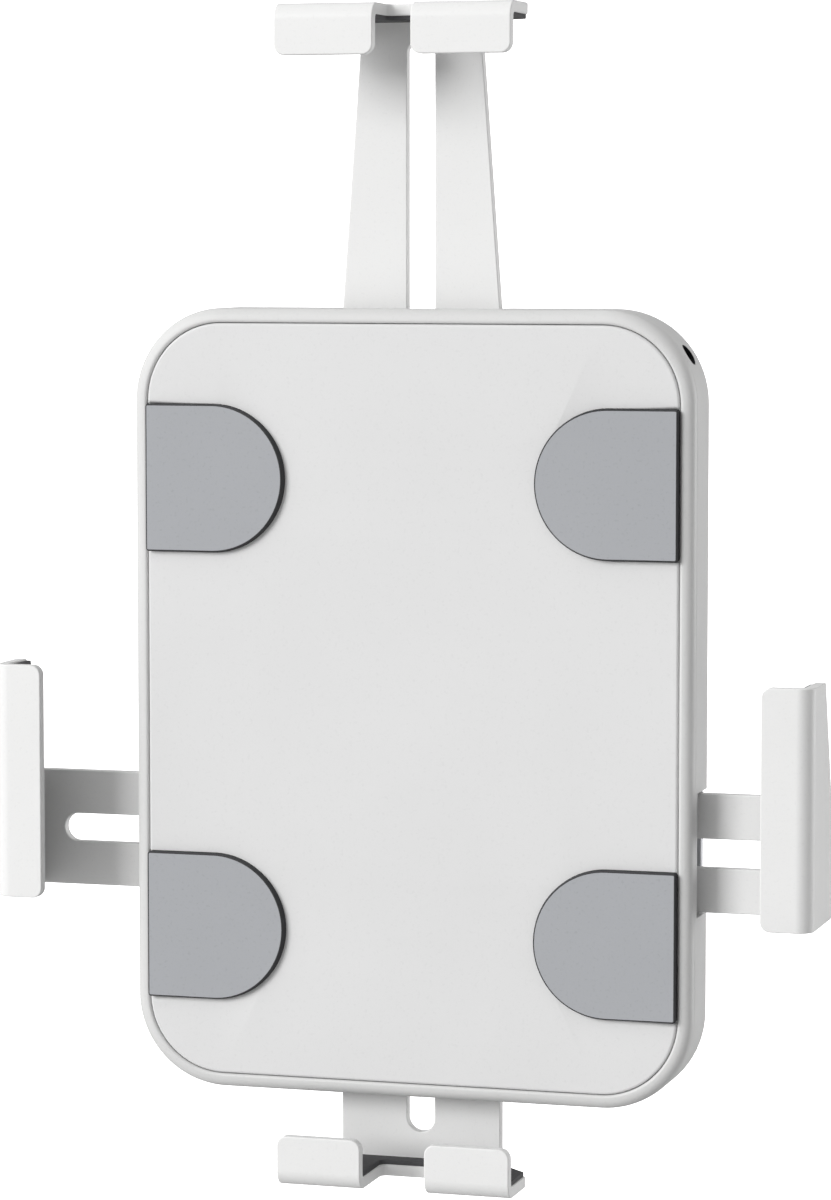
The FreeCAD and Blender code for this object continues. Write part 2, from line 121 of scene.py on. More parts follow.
def slow_tone() -> bpy.types.NodeTree:
    """Group for the slow change of tone over a surface, with a few finer specks in it.

    Returns:
        The group, with Tone Scale and Speck Scale in and Tone and Specks out, both from 0 to 1.
    """
    if "slow_tone" in bpy.data.node_groups:
        return bpy.data.node_groups["slow_tone"]
    group = new_group("slow_tone", {"Tone Scale": 25.0, "Speck Scale": 1500.0}, ["Tone", "Specks"])
    nodes, links = group.nodes, group.links
    source = nodes.new("NodeGroupInput")
    result = nodes.new("NodeGroupOutput")
    for label, limits in (("Tone", (0.35, 0.65)), ("Speck", (0.58, 0.75))):
        noise = nodes.new("ShaderNodeTexNoise")
        noise.inputs["Detail"].default_value = 2.0
        spread = nodes.new("ShaderNodeMapRange")
        spread.inputs["From Min"].default_value = limits[0]
        spread.inputs["From Max"].default_value = limits[1]
        links.new(source.outputs["Position"], noise.inputs["Vector"])
        links.new(source.outputs[f"{label} Scale"], noise.inputs["Scale"])
        links.new(noise.outputs["Fac"], spread.inputs["Value"])
        links.new(spread.outputs["Result"], result.inputs["Tone" if label == "Tone" else "Specks"])
    return group


def add_group(tree: bpy.types.NodeTree, group: bpy.types.NodeTree, position: bpy.types.NodeSocket,
              values: dict[str, float]) -> bpy.types.Node:
    """Places a shared group in a material.

    Args:
        tree: The material's node tree.
        group: The shared group.
        position: Socket with the position on the surface.
        values: Values for the group's own inputs.

    Returns:
        The group node.
    """
    node = tree.nodes.new("ShaderNodeGroup")
    node.node_tree = group
    tree.links.new(position, node.inputs["Position"])
    for label, value in values.items():
        node.inputs[label].default_value = value
    return node


@dataclass(frozen=True)
class Finish:
    """A finish with a slow change of tone, fine relief and a spread of gloss.

    The colours are where the tone is fullest and faintest, and the relief is in millimetres.
    """

    name: str
    colour: Colour
    shade: Colour
    roughness: tuple[float, float]
    relief: float
    slot: Slot
    tone_scale: float = 25.0
    swell_scale: float = 700.0
    grain_scale: float = 4000.0
    grain_share: float = 0.4
    speck_share: float = 0.1
    metallic: float = 0.0
    specular: float = 0.5
    speck_shade: float = 0.6
    stretch: tuple[float, float, float] = (1.0, 1.0, 1.0)

    def material(self) -> bpy.types.Material:
        """Builds the material, once.

        Returns:
            The material.
        """
        if self.name in bpy.data.materials:
            return bpy.data.materials[self.name]
        material = bpy.data.materials.new(self.name)
        material.use_nodes = True
        tree = material.node_tree
        shader = tree.nodes["Principled BSDF"]
        shader.inputs["Metallic"].default_value = self.metallic
        shader.inputs["Specular IOR Level"].default_value = self.specular
        place = tree.nodes.new("ShaderNodeTexCoord")
        mapping = tree.nodes.new("ShaderNodeMapping")
        mapping.inputs["Scale"].default_value = self.stretch
        tree.links.new(place.outputs["Object"], mapping.inputs["Vector"])
        position = mapping.outputs["Vector"]
        self.add_colour(tree, shader, position)
        self.add_relief(tree, shader, position)
        return material

    def add_colour(self, tree: bpy.types.NodeTree, shader: bpy.types.Node,
                   position: bpy.types.NodeSocket) -> None:
        """Gives the shader its colour and roughness.

        Args:
            tree: The material's node tree.
            shader: The material's shader.
            position: Socket with the position on the surface.
        """
        tone = add_group(tree, slow_tone(), position, {"Tone Scale": self.tone_scale})
        tint = tree.nodes.new("ShaderNodeMix")
        tint.data_type = "RGBA"
        tint.inputs["A"].default_value = (*self.shade, 1.0)
        tint.inputs["B"].default_value = (*self.colour, 1.0)
        tree.links.new(tone.outputs["Tone"], tint.inputs["Factor"])
        speck_fade = tree.nodes.new("ShaderNodeMath")
        speck_fade.operation = "MULTIPLY"
        speck_fade.inputs[1].default_value = self.speck_share
        tree.links.new(tone.outputs["Specks"], speck_fade.inputs[0])
        specks = tree.nodes.new("ShaderNodeMix")
        specks.data_type = "RGBA"
        specks.inputs["B"].default_value = (*(self.speck_shade * part for part in self.shade), 1.0)
        tree.links.new(speck_fade.outputs["Value"], specks.inputs["Factor"])
        tree.links.new(tint.outputs["Result"], specks.inputs["A"])
        tree.links.new(specks.outputs["Result"], shader.inputs["Base Color"])
        gloss = tree.nodes.new("ShaderNodeMapRange")
        gloss.inputs["To Min"].default_value = self.roughness[0]
        gloss.inputs["To Max"].default_value = self.roughness[1]
        tree.links.new(tone.outputs["Tone"], gloss.inputs["Value"])
        tree.links.new(gloss.outputs["Result"], shader.inputs["Roughness"])

    def add_relief(self, tree: bpy.types.NodeTree, shader: bpy.types.Node,
                   position: bpy.types.NodeSocket) -> None:
        """Gives the shader its fine relief.

        Args:
            tree: The material's node tree.
            shader: The material's shader.
            position: Socket with the position on the surface.
        """
        values = {"Swell Scale": self.swell_scale, "Grain Scale": self.grain_scale,
                  "Grain Share": self.grain_share}
        grain = add_group(tree, surface_grain(), position, values)
        bump = tree.nodes.new("ShaderNodeBump")
        bump.inputs["Strength"].default_value = 1.0
        bump.inputs["Distance"].default_value = self.relief * MM
        tree.links.new(grain.outputs["Height"], bump.inputs["Height"])
        tree.links.new(bump.outputs["Normal"], shader.inputs["Normal"])


POWDER_COAT = Finish("white_powder_coat", (0.825, 0.825, 0.82), (0.805, 0.805, 0.8), (0.42, 0.5), 0.02,
                     Slot.COATED_STEEL, swell_scale=900.0, grain_scale=3500.0, grain_share=0.45)
COVER_PLASTIC = Finish("white_moulded_plastic", (0.685, 0.685, 0.68), (0.67, 0.67, 0.665), (0.46, 0.54), 0.015,
                       Slot.COVER_PLASTIC, swell_scale=1500.0, grain_scale=5000.0, grain_share=0.7)
PANEL_PLASTIC = Finish("off_white_panel", (0.735, 0.735, 0.735), (0.72, 0.72, 0.72), (0.5, 0.58), 0.012,
                       Slot.PANEL_PLASTIC, swell_scale=1800.0, grain_scale=6000.0, grain_share=0.7)
PAD_RUBBER = Finish("grey_pad_rubber", (0.405, 0.415, 0.435), (0.39, 0.4, 0.42), (0.7, 0.82), 0.03,
                    Slot.PAD_RUBBER, swell_scale=2500.0, grain_scale=7000.0, grain_share=0.6,
                    speck_share=0.25, specular=0.35)
# Dark sides of the pads: partly dark foam, partly painted shade and painted shadow on the panel.
PAD_FOAM_AND_SHADE = Finish("dark_pad_foam_and_painted_shade", (0.068, 0.068, 0.071), (0.05, 0.05, 0.053), (0.85, 0.95), 0.06,
                  Slot.PAD_RUBBER, swell_scale=2500.0, grain_scale=7000.0, grain_share=0.6,
                  speck_share=0.4, specular=0.3)
LINER_RUBBER = Finish("dark_liner_foam", (0.1, 0.1, 0.103), (0.08, 0.08, 0.083), (0.85, 0.95), 0.08,
                      Slot.LINER_RUBBER, swell_scale=1800.0, grain_scale=4500.0, grain_share=0.5,
                      speck_share=0.4, specular=0.3)
ZINC_STEEL = Finish("zinc_plated_steel", (0.61, 0.62, 0.64), (0.56, 0.57, 0.595), (0.36, 0.44), 0.008,
                    Slot.ZINC_STEEL, tone_scale=120.0, swell_scale=1200.0, grain_scale=6000.0,
                    metallic=1.0, stretch=(1.0, 1.0, 0.12))
# Dark steel of the lock screw; also painted into the screw's bore as shade.
LOCK_STEEL_AND_BORE_SHADE = Finish("dark_lock_steel_and_bore_shade", (0.07, 0.07, 0.075), (0.05, 0.05, 0.055), (0.35, 0.5), 0.006,
                    Slot.ZINC_STEEL, tone_scale=300.0, metallic=1.0)


# Shaping


class Corner(NamedTuple):
    """A corner of a flat outline, in millimetres, and the radius that rounds it."""

    x: float
    y: float
    radius: float = 0.0


def add_outline(bm: bmesh.types.BMesh, corners: Sequence[Corner], segments: int = 10) -> bmesh.types.BMFace:
    """Adds a flat face with rounded corners.

    Args:
        bm: The mesh to add to.
        corners: The face's corners, anticlockwise.
        segments: Straight runs in each rounded corner.

    Returns:
        The face.
    """
    known = set(bm.faces)
    verts = [bm.verts.new((corner.x, corner.y, 0.0)) for corner in corners]
    bm.faces.new(verts)
    for radius in sorted({corner.radius for corner in corners if corner.radius}):
        rounded = [vert for vert, corner in zip(verts, corners) if corner.radius == radius]
        bmesh.ops.bevel(bm, geom=rounded, offset=radius, offset_type="OFFSET", segments=segments,
                        profile=0.5, affect="VERTICES", clamp_overlap=False, material=-1)
    face = next(face for face in bm.faces if face not in known)
    bmesh.ops.remove_doubles(bm, verts=face.verts[:], dist=SAME_POINT)
    return next(face for face in bm.faces if face not in known)


def cut_hole(bm: bmesh.types.BMesh, outer: bmesh.types.BMFace, hole: bmesh.types.BMFace,
             flat_angle: float = 0.5) -> None:
    """Turns a face and a smaller one inside it into a region with a hole.

    Args:
        bm: The mesh that holds both.
        outer: The outer face.
        hole: The face that becomes the hole.
        flat_angle: Bend in degrees under which two faces of the region become one.
    """
    edges = outer.edges[:] + hole.edges[:]
    bmesh.ops.delete(bm, geom=[outer, hole], context="FACES_ONLY")
    bmesh.ops.triangle_fill(bm, edges=edges, use_beauty=True, use_dissolve=False, normal=(0, 0, 1))
    bmesh.ops.dissolve_limit(bm, angle_limit=math.radians(flat_angle), verts=bm.verts[:], edges=bm.edges[:])


def raise_slab(bm: bmesh.types.BMesh, region: list[bmesh.types.BMFace], low: float, high: float,
               low_edge: float, high_edge: float, steps: int = 3) -> None:
    """Gives a flat region its thickness and rounds the edges of its two faces.

    Args:
        bm: The mesh that holds the region.
        region: The flat faces.
        low: Height of the lower face.
        high: Height of the upper face.
        low_edge: Radius round the lower face, 0 for none.
        high_edge: Radius round the upper face, 0 for none.
        steps: Straight runs in each rounded edge.
    """
    base = list({vert for face in region for vert in face.verts})
    bmesh.ops.translate(bm, verts=base, vec=(0, 0, low + low_edge))
    grown = bmesh.ops.extrude_face_region(bm, geom=region)["geom"]
    top = [item for item in grown if isinstance(item, bmesh.types.BMFace)]
    lifted = [item for item in grown if isinstance(item, bmesh.types.BMVert)]
    bmesh.ops.translate(bm, verts=lifted, vec=(0, 0, high - high_edge - low - low_edge))
    bmesh.ops.recalc_face_normals(bm, faces=bm.faces[:])
    for faces, radius in ((region, low_edge), (top, high_edge)):
        for step in range(steps if radius else 0):
            start = math.pi / 2 * step / steps
            end = math.pi / 2 * (step + 1) / steps
            bmesh.ops.inset_region(bm, faces=faces, use_boundary=True, use_even_offset=True,
                                   thickness=radius * (math.cos(start) - math.cos(end)),
                                   depth=radius * (math.sin(end) - math.sin(start)))


def link_mesh(bm: bmesh.types.BMesh, name: str, finish: Finish) -> bpy.types.Object:
    """Makes an object of a finished mesh, with smooth shading that keeps its flats flat.

    Args:
        bm: The mesh, in metres and in place. It is freed.
        name: Name of the piece.
        finish: Its finish.

    Returns:
        The object.
    """
    mesh = bpy.data.meshes.new(name)
    bm.to_mesh(mesh)
    bm.free()
    mesh.shade_smooth()
    mesh.set_sharp_from_angle(angle=SHARP_ANGLE)
    mesh.materials.append(finish.material())
    piece = bpy.data.objects.new(name, mesh)
    bpy.context.scene.collection.objects.link(piece)
    return piece


def even_normals(piece: bpy.types.Object) -> None:
    """Lets large faces set the shading of their corners."""
    weighted = piece.modifiers.new("even_normals", "WEIGHTED_NORMAL")
    weighted.mode = "FACE_AREA"
    weighted.weight = 50
    weighted.keep_sharp = True


def make_piece(bm: bmesh.types.BMesh, name: str, finish: Finish, place: Matrix, body: str,
               *nodes: str) -> bpy.types.Object:
    """Finishes a piece that was built in millimetres, and puts it in the frame.

    Args:
        bm: The mesh. It is freed.
        name: Name of the piece.
        finish: Its finish.
        place: Matrix from the shape's own axes to the frame's, in millimetres.
        body: Body that it rides on.
        nodes: CAD nodes that it stands for.

    Returns:
        The object.
    """
    bmesh.ops.transform(bm, matrix=Matrix.Scale(MM, 4) @ place, verts=bm.verts[:])
    bmesh.ops.recalc_face_normals(bm, faces=bm.faces[:])
    piece = link_mesh(bm, name, finish)
    even_normals(piece)
    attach(piece, body)
    if nodes:
        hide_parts(*nodes)
    return piece


def dress_copy(node: str, name: str, finish: Finish, body: str, edge: float, flat_angle: float = 0.3,
               edge_angle: float = 60.0) -> bpy.types.Object:
    """Copies a CAD node with its seams merged and its sharp edges softened, and puts it in its place.

    Args:
        node: The CAD node.
        name: Name of the new piece.
        finish: Its finish.
        body: Body that it rides on.
        edge: Width of the softened edges, in millimetres, 0 where the node has round edges itself.
        flat_angle: Bend in degrees under which two faces become one.
        edge_angle: Bend in degrees from which an edge is softened.

    Returns:
        The object.
    """
    bm = bmesh.new()
    bm.from_mesh(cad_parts[node].data)
    bmesh.ops.remove_doubles(bm, verts=bm.verts[:], dist=SAME_POINT * MM)
    if edge:
        bmesh.ops.dissolve_limit(bm, angle_limit=math.radians(flat_angle), verts=bm.verts[:], edges=bm.edges[:])
    piece = link_mesh(bm, name, finish)
    if edge:
        soften = piece.modifiers.new("soft_edges", "BEVEL")
        soften.width = edge * MM
        soften.segments = 2
        soften.limit_method = "ANGLE"
        soften.angle_limit = math.radians(edge_angle)
        soften.use_clamp_overlap = False
    even_normals(piece)
    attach(piece, body)
    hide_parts(node)
    return piece


# Casing


@dataclass
class Casing:
    """The flat casing on the wall: cover, panel, side band, wall plate and fasteners.

    rim and skirt are drawn in from the casing's sides. depth, split, recess, floor_back, skirt_back,
    boss_back and lock_height lie above the wall.
    """

    width: float = 125.0
    height: float = 170.4
    depth: float = 13.8
    corner_radius: float = 20.0
    split: float = 11.0
    rim: float = 3.1
    rim_radius: float = 2.4
    rim_inner_radius: float = 0.55
    recess: float = 12.2
    floor_back: float = 10.6
    skirt: tuple[float, float] = (2.35, 3.55)
    skirt_back: float = 9.4
    fine_edge: float = 0.15
    fine_turn: float = 0.3
    soft_edge: float = 0.15
    fastener_edge: float = 0.08
    boss_place: tuple[float, float] = (47.0, 71.0)
    boss_radius: float = 3.2
    boss_back: float = 8.1
    boss_sunk: float = 0.5
    boss_sides: int = 32
    corner_steps: int = 24
    rim_steps: int = 8
    rim_inner_steps: int = 4
    lock_height: float = 5.8
    lock_angle: float = 32.0
    lock_bore: float = 2.5
    body: str = "casing"

    def outline_face(self, bm: bmesh.types.BMesh, inset: float, height: float) -> bmesh.types.BMFace:
        """Adds a face with the casing's outline.

        Args:
            bm: The mesh to add to.
            inset: How far the outline is drawn in from the casing's sides.
            height: Height of the face above the wall.

        Returns:
            The face.
        """
        u = self.width / 2 - inset
        v = self.height / 2 - inset
        radius = self.corner_radius - inset
        corners = [Corner(-u, -v, radius), Corner(u, -v, radius), Corner(u, v, radius), Corner(-u, v, radius)]
        face = add_outline(bm, corners, segments=self.corner_steps)
        bmesh.ops.translate(bm, verts=face.verts[:], vec=(0, 0, height))
        return face

    def step_outline(self, bm: bmesh.types.BMesh, edges: list[bmesh.types.BMEdge], inset: float,
                     height: float) -> list[bmesh.types.BMEdge]:
        """Extrudes the casing's outline to another inset and height.

        Args:
            bm: The mesh that holds the outline.
            edges: The outline so far.
            inset: The new outline's inset.
            height: The new outline's height above the wall.

        Returns:
            The new outline's edges.
        """
        grown = bmesh.ops.extrude_edge_only(bm, edges=edges)["geom"]
        straight_u = self.width / 2 - self.corner_radius
        straight_v = self.height / 2 - self.corner_radius
        for vert in (item for item in grown if isinstance(item, bmesh.types.BMVert)):
            centre = Vector((math.copysign(straight_u, vert.co.x), math.copysign(straight_v, vert.co.y)))
            spoke = (vert.co.xy - centre).normalized() * (self.corner_radius - inset)
            vert.co = (*(centre + spoke), height)
        return [item for item in grown if isinstance(item, bmesh.types.BMEdge)]

    def rim_section(self) -> list[tuple[float, float]]:
        """Works out the cover's section, from the recess over the rim to the back.

        Returns:
            The section's points, each as its inset and its height above the wall.
        """
        fine = self.fine_edge
        section = [(self.rim, self.recess)]
        for step in range(self.rim_inner_steps + 1):
            angle = math.pi / 2 * step / self.rim_inner_steps
            section.append((self.rim - self.rim_inner_radius * (1 - math.cos(angle)),
                            self.depth - self.rim_inner_radius * (1 - math.sin(angle))))
        for step in range(self.rim_steps + 1):
            angle = math.pi / 2 * step / self.rim_steps
            section.append((self.rim_radius * (1 - math.sin(angle)),
                            self.depth - self.rim_radius * (1 - math.cos(angle))))
        turn = self.fine_turn * fine
        section += [(0.0, self.split + fine), (turn, self.split + turn), (fine, self.split),
                    (self.skirt[0], self.split), (self.skirt[0], self.skirt_back),
                    (self.skirt[1], self.skirt_back), (self.skirt[1], self.floor_back)]
        return section

    def build_cover(self) -> bpy.types.Object:
        """Builds the moulded cover with its rounded rim, recess floor, skirt and bosses.

        Returns:
            The cover.
        """
        bm = bmesh.new()
        (first_inset, first_height), *steps = self.rim_section()
        edges = self.outline_face(bm, first_inset, first_height).edges[:]
        for inset, height in steps:
            edges = self.step_outline(bm, edges, inset, height)
        bmesh.ops.edgeloop_fill(bm, edges=edges)
        boss_front = self.floor_back + self.boss_sunk
        for side_u in (-1, 1):
            for side_v in (-1, 1):
                middle = (self.boss_back + boss_front) / 2
                place = Matrix.Translation((side_u * self.boss_place[0], side_v * self.boss_place[1], middle))
                bmesh.ops.create_cone(bm, cap_ends=True, segments=self.boss_sides, radius1=self.boss_radius,
                                      radius2=self.boss_radius, matrix=place,
                                      depth=boss_front - self.boss_back)
        return make_piece(bm, "cover_with_rim", COVER_PLASTIC, OUT_OF_WALL, self.body, "front_cover")

    def build_side_band(self) -> bpy.types.Object:
        """Copies the side band and darkens the bore that the lock screw sits in with painted shade.

        Returns:
            The side band.
        """
        band = dress_copy("rear_housing", "side_band", COVER_PLASTIC, self.body, self.soft_edge)
        centre = Vector((self.width / 2 - self.corner_radius, -self.lock_height,
                         self.height / 2 - self.corner_radius))
        angle = math.radians(self.lock_angle)
        # Painted shade: the bore's wall takes the dark lock steel so that the hole reads dark.
        paint_bore_shade(band, LOCK_STEEL_AND_BORE_SHADE, centre, Vector((math.cos(angle), 0.0, math.sin(angle))), self.lock_bore)
        return band

    def build(self) -> list[bpy.types.Object]:
        """Builds every piece of the casing but its pads.

        Returns:
            The pieces that stand for CAD nodes.
        """
        pieces = [
            self.build_cover(),
            dress_copy("front_panel", "inset_panel", PANEL_PLASTIC, self.body, 0.0),
            self.build_side_band(),
            dress_copy("wall_plate", "plate_on_wall", ZINC_STEEL, self.body, self.soft_edge),
            dress_copy("arm_studs", "flush_head_studs", ZINC_STEEL, self.body, self.fastener_edge),
            dress_copy("lock_screw", "corner_lock_screw", LOCK_STEEL_AND_BORE_SHADE, self.body, self.fastener_edge),
        ]
        for node in ("arm_washers", "arm_nuts", "cover_screws"):
            plate_node(node, ZINC_STEEL)
        return pieces


def paint_bore_shade(piece: bpy.types.Object, finish: Finish, start: Vector, along: Vector, radius: float) -> None:
    """Paints the wall of a bore dark with another finish, as painted shade in the hole.

    Args:
        piece: The piece with the bore.
        finish: The dark finish painted inside the bore as shade.
        start: Point on the bore's axis behind its inner end, in millimetres.
        along: Direction of the axis, of length 1, towards the bore's mouth.
        radius: Distance from the axis that holds the bore's faces and no others.
    """
    piece.data.materials.append(finish.material())
    for face in piece.data.polygons:
        offset = face.center / MM - start
        reach = offset.dot(along)
        if reach > 0 and (offset - along * reach).length < radius:
            face.material_index = 1


def plate_node(node: str, finish: Finish) -> None:
    """Gives a CAD node that stays as it is a finish.

    Args:
        node: The CAD node.
        finish: Its finish.
    """
    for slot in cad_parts[node].material_slots:
        slot.material = finish.material()


@dataclass
class Pad:
    """One D-shaped pad, grey on top with dark sides of foam and painted shade, with its round end towards the
    panel's middle.

    side is -1 for the left and 1 for the right. The dark sides are partly dark foam and partly painted shade.
    The dark foot stands wider at the round end as a painted shadow on the panel, and the grey skin ends where
    the surface slopes off.
    """

    name: str
    side: int
    height: float
    edge_u: float = 59.25
    length: float = 31.2
    width: float = 32.0
    back: float = 13.1
    front: float = 15.4
    edge_radius: float = 0.35
    outer_radius: float = 0.6
    shadow_foot: float = 0.45
    round_steps: int = 24
    skin_slope: float = 0.98

    def build(self) -> bpy.types.Object:
        """Builds the pad in its pocket.

        Returns:
            The pad.
        """
        half = self.width / 2
        inner = self.edge_u - self.length
        corners = [Corner(inner, -half, half), Corner(self.edge_u, -half, self.outer_radius),
                   Corner(self.edge_u, half, self.outer_radius), Corner(inner, half, half)]
        bm = bmesh.new()
        add_outline(bm, corners, segments=self.round_steps)
        raise_slab(bm, bm.faces[:], self.back, self.front, 0.0, self.edge_radius)
        # Faces that slope off the top take the dark finish, which is partly foam and partly painted shade.
        for face in bm.faces:
            face.material_index = int(face.normal.z < self.skin_slope)
        # The foot is flared at the round end so that its dark faces paint the pad's shadow on the panel.
        shadow_foot = [vert for vert in bm.verts if vert.co.z < self.back + SAME_POINT]
        bmesh.ops.scale(bm, verts=shadow_foot, vec=(1.0 + self.shadow_foot / self.length, 1.0, 1.0),
                        space=Matrix.Translation((-self.edge_u, 0, 0)))
        mirrored = Matrix.Diagonal((self.side, 1, 1, 1))
        place = Matrix.Translation((0, 0, self.height)) @ OUT_OF_WALL @ mirrored
        piece = make_piece(bm, f"{self.name}_rubber", PAD_RUBBER, place, "casing", self.name)
        piece.data.materials.append(PAD_FOAM_AND_SHADE.material())
        return piece


# Arms


@dataclass
class HookArm:
    """A slotted arm cut from sheet and bent twice into a hook, and the liner inside the hook.

    The sizes are those of an arm that points up, and turn and lift put it in its own place. reach and
    inner are how far the hook and the inner end lie from the casing's centre, left and right how far
    the hook stretches to each side, and front is how high the strip's front face lies above the wall.
    """

    name: str
    reach: float
    inner: float
    width: float
    left: float
    right: float
    slot_end: float
    turn: float
    lift: float = 0.0
    tip_width: float = 0.0
    taper_start: float = 0.0
    notch: float = 0.0
    notch_depth: float = 11.8
    notch_radius: float = 1.5
    sheet: float = 2.5
    bend: float = 1.0
    front: float = 4.6
    hook_depth: float = 24.5
    lip: float = 11.0
    lip_radius: float = 2.2
    full_width_depth: float = 8.2
    slot_width: float = 6.2
    slot_margin: float = 5.0
    inner_radius: float = 3.0
    edge: float = 0.3
    bend_steps: int = 8
    liner: float = 1.0
    liner_margin: float = 0.4
    liner_edge: float = 0.2
    stations: list[float] = field(init=False)

    def __post_init__(self) -> None:
        """Works out where along the flat strip each bend starts and ends, and where the lip ends."""
        self.tip_width = self.tip_width or self.width
        outer = self.sheet + self.bend
        arc = math.pi / 2 * (self.bend + self.sheet / 2)
        lengths = [arc, self.hook_depth - 2 * outer, arc, self.lip - outer]
        self.stations = [self.reach - outer]
        for length in lengths:
            self.stations.append(self.stations[-1] + length)

    def web_station(self, height: float) -> float:
        """Returns the place along the strip of a height above the wall on the hook's web."""
        return self.stations[1] + height - self.front - self.bend

    def flank(self, extent: float) -> list[Corner]:
        """Works out one side of the flat strip's outline, from its inner end to the notch.

        Args:
            extent: How far the hook reaches on this side of the slot's middle line.

        Returns:
            The corners on that side.
        """
        half, tip = self.width / 2, self.tip_width / 2
        lip_end = self.stations[4]
        corners = [Corner(half, self.inner, self.inner_radius)]
        if tip < half:
            corners += [Corner(half, self.taper_start), Corner(tip, self.stations[0])]
        if extent > tip:
            widest = self.web_station(self.front + self.full_width_depth)
            corners += [Corner(tip, self.stations[1]), Corner(extent, widest)]
        corners.append(Corner(extent, lip_end, self.lip_radius))
        if self.notch:
            floor = self.web_station(self.front - self.sheet + self.hook_depth - self.notch_depth)
            corners += [Corner(self.notch / 2, lip_end, self.lip_radius),
                        Corner(self.notch / 2, floor, self.notch_radius)]
        return corners

    def fold(self, point: Vector) -> Vector:
        """Works out where a point of the flat strip lies once the strip is bent.

        Args:
            point: Across the strip, along it, and through it from its inner face.

        Returns:
            The bent point: across, up and out of the wall.
        """
        across, along, through = point
        radius = self.bend + through
        first, web, second, lip, _ = self.stations
        near = self.front + self.bend
        far = near + second - web
        if along <= first:
            return Vector((across, along, self.front - through))
        if along <= web:
            angle = math.pi / 2 * (along - first) / (web - first)
            return Vector((across, first + radius * math.sin(angle), near - radius * math.cos(angle)))
        if along <= second:
            return Vector((across, first + radius, near + along - web))
        if along <= lip:
            angle = math.pi / 2 * (along - second) / (lip - second)
            return Vector((across, first + radius * math.cos(angle), far + radius * math.sin(angle)))
        return Vector((across, first - (along - lip), far + radius))

    def place(self) -> Matrix:
        """Returns the matrix from the upward arm's own axes to the frame's."""
        turned = Matrix.Rotation(math.radians(self.turn), 4, "Y")
        return Matrix.Translation((0, 0, self.lift)) @ turned @ OUT_OF_WALL

    def build_arm(self) -> bpy.types.Object:
        """Cuts the flat strip with its slot and notch, bends it and puts it in place.

        Returns:
            The arm.
        """
        bm = bmesh.new()
        left = [Corner(-corner.x, corner.y, corner.radius) for corner in reversed(self.flank(-self.left))]
        strip = add_outline(bm, self.flank(self.right) + left)
        half = self.slot_width / 2
        low = self.inner + self.slot_margin
        ends = [Corner(-half, low, half), Corner(half, low, half), Corner(half, self.slot_end, half),
                Corner(-half, self.slot_end, half)]
        cut_hole(bm, strip, add_outline(bm, ends))
        for start, end in (self.stations[0:2], self.stations[2:4]):
            for step in range(self.bend_steps + 1):
                along = start + (end - start) * step / self.bend_steps
                everything = bm.verts[:] + bm.edges[:] + bm.faces[:]
                bmesh.ops.bisect_plane(bm, geom=everything, dist=SAME_POINT, plane_co=(0, along, 0),
                                       plane_no=(0, 1, 0))
        raise_slab(bm, bm.faces[:], 0.0, self.sheet, self.edge, self.edge)
        for vert in bm.verts:
            vert.co = self.fold(vert.co)
        return make_piece(bm, f"{self.name}_bent_sheet", POWDER_COAT, self.place(), f"{self.name}_hook",
                          f"{self.name}_arm")

    def build_liner(self) -> bpy.types.Object:
        """Cuts the liner to the web's shape and lays it on the web's inner face.

        Returns:
            The liner.
        """
        margin = self.liner_margin
        back = self.front + self.bend
        front = self.front - self.sheet + self.hook_depth - self.sheet - self.bend
        widest = self.front + self.full_width_depth
        floor = self.front - self.sheet + self.hook_depth - self.notch_depth - margin
        sides = []
        for extent in (self.right, -self.left):
            corners = [Corner(self.tip_width / 2 - margin, back)]
            if extent > self.tip_width / 2:
                corners.append(Corner(extent - margin, widest))
            corners.append(Corner(extent - margin, front))
            if self.notch:
                corners += [Corner(self.notch / 2 + margin, front),
                            Corner(self.notch / 2 + margin, floor, self.notch_radius)]
            sides.append(corners)
        bm = bmesh.new()
        add_outline(bm, sides[0] + [Corner(-c.x, c.y, c.radius) for c in reversed(sides[1])])
        inner_face = self.reach - self.sheet
        raise_slab(bm, bm.faces[:], inner_face - self.liner, inner_face, self.liner_edge, 0.0)
        on_edge = Matrix(((1, 0, 0, 0), (0, 0, 1, 0), (0, 1, 0, 0), (0, 0, 0, 1)))
        return make_piece(bm, f"{self.name}_liner_strip", LINER_RUBBER, self.place() @ on_edge,
                          f"{self.name}_hook", f"{self.name}_hook_liner")

    def build(self) -> list[bpy.types.Object]:
        """Builds the arm and its liner."""
        return [self.build_arm(), self.build_liner()]


# Studio


@dataclass(frozen=True)
class Softbox:
    """A square soft light that points at the mount."""

    name: str
    place: tuple[float, float, float]
    size: float
    power: float

    def build(self, target: Vector) -> bpy.types.Object:
        """Adds the light.

        Args:
            target: Point that it faces.

        Returns:
            The light.
        """
        data = bpy.data.lights.new(self.name, "AREA")
        data.shape = "SQUARE"
        data.size = self.size
        data.energy = self.power
        light = bpy.data.objects.new(self.name, data)
        light.location = self.place
        light.rotation_euler = (target - light.location).to_track_quat("-Z", "Y").to_euler()
        bpy.context.scene.collection.objects.link(light)
        return light


